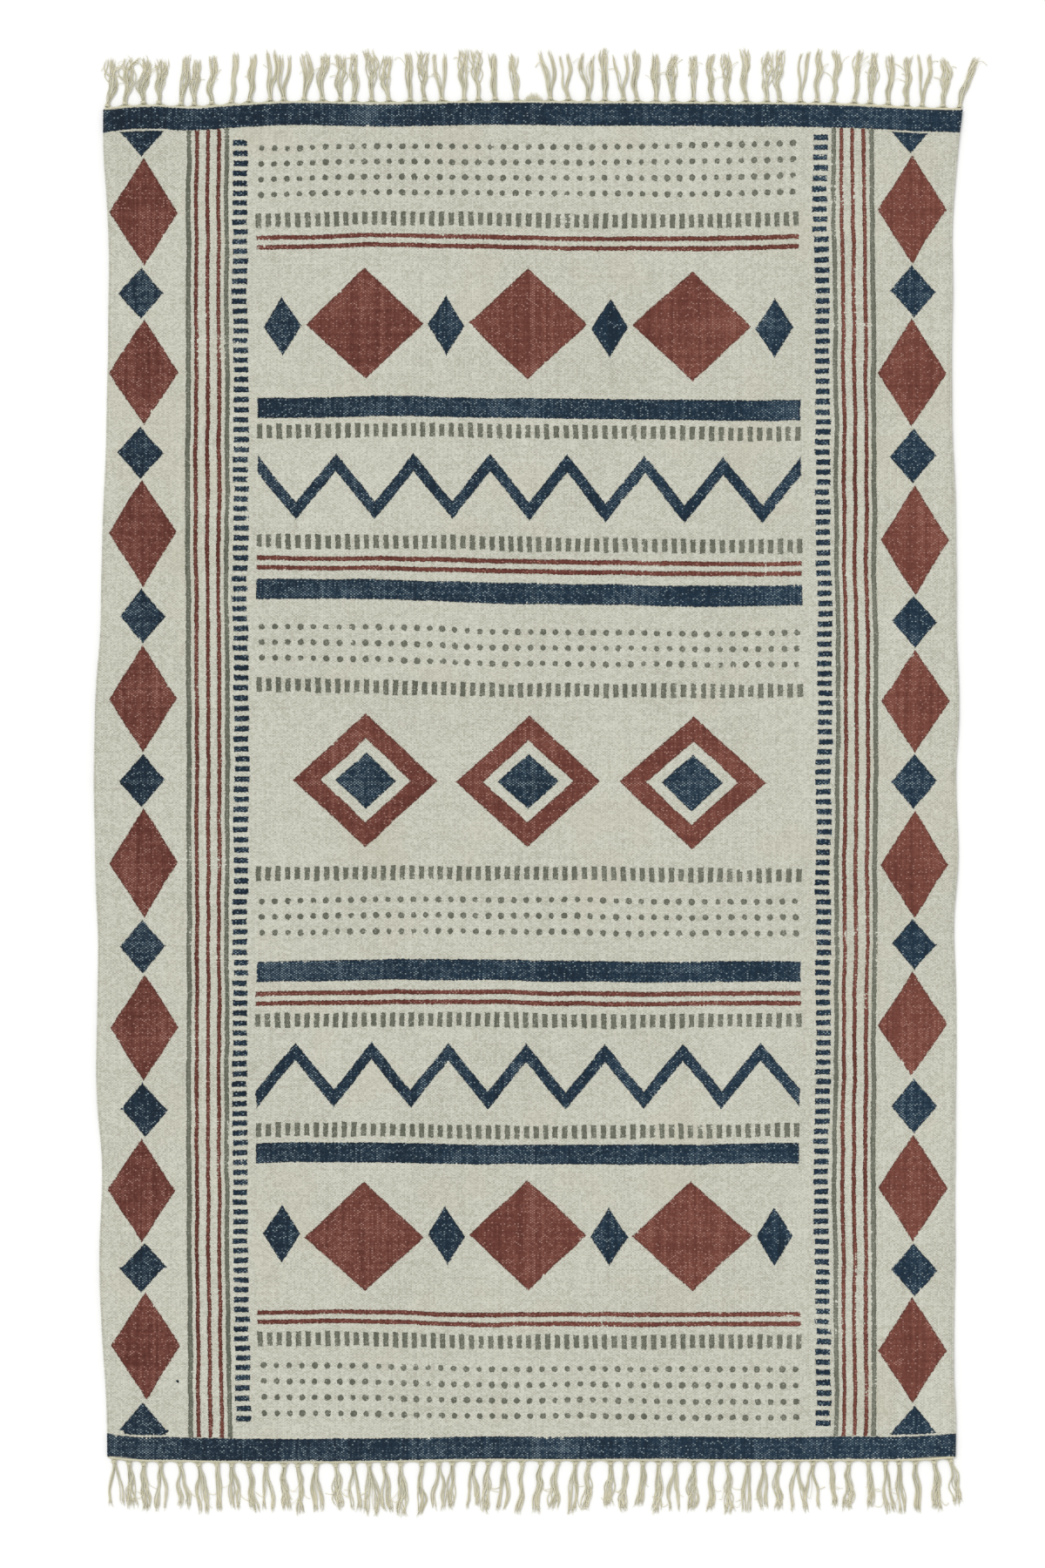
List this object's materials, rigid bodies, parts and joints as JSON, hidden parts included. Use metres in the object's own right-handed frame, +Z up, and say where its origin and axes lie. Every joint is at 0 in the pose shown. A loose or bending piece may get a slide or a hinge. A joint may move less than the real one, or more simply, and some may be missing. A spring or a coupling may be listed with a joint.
{
  "type": "dhurrie rug",
  "caption": "Flat-woven cotton floor rug, printed in bands between striped side borders, with a knotted warp fringe along both ends.",
  "frame": {"origin": "middle of the cloth's underside, on the surface that the rug lies on", "axes": "+Y along the rug's length, +X across its width to the right, +Z up from the floor"},
  "size_m": [1.5556, 2.5656, 0.004],
  "materials": {
    "printed_cotton": "matt hand-woven cotton with block-printed pigment",
    "fringe_yarn": "undyed loosely plied cotton yarn"
  },
  "bodies": {
    "root": {"rug_cloth": "printed_cotton", "fringe_top": "fringe_yarn", "fringe_bottom": "fringe_yarn"}
  },
  "joints": []
}
